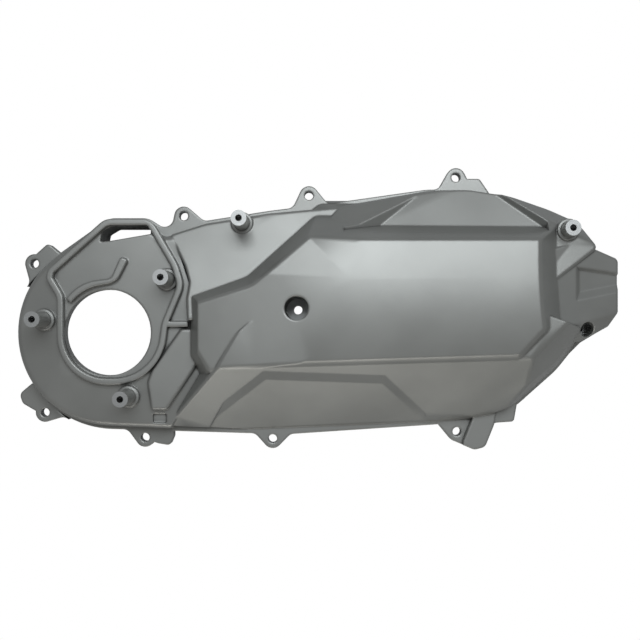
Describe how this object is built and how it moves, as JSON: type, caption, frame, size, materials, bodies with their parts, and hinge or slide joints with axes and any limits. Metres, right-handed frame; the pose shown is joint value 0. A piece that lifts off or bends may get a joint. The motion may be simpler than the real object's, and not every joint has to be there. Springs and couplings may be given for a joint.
{
  "type": "crankcase cover",
  "caption": "Left crankcase cover of a belt-drive scooter: ribbed hollow die casting with a round cooling-air opening, cast posts and a bolted mating flange.",
  "frame": {"origin": "In the mouth of the round cooling-air opening, on its axis, which is the crankshaft axis. The mating face lies 30 mm below it.", "axes": "+Z square out of the mating face, away from the engine; +X from the fan end to the clutch end, along the length; +Y towards the top of the engine. It lies on its mating face."},
  "size_m": [0.468, 0.2217, 0.069],
  "materials": {
    "painted_casting": "satin"
  },
  "bodies": {
    "root": {"crankcase_cover": "painted_casting"}
  },
  "joints": []
}
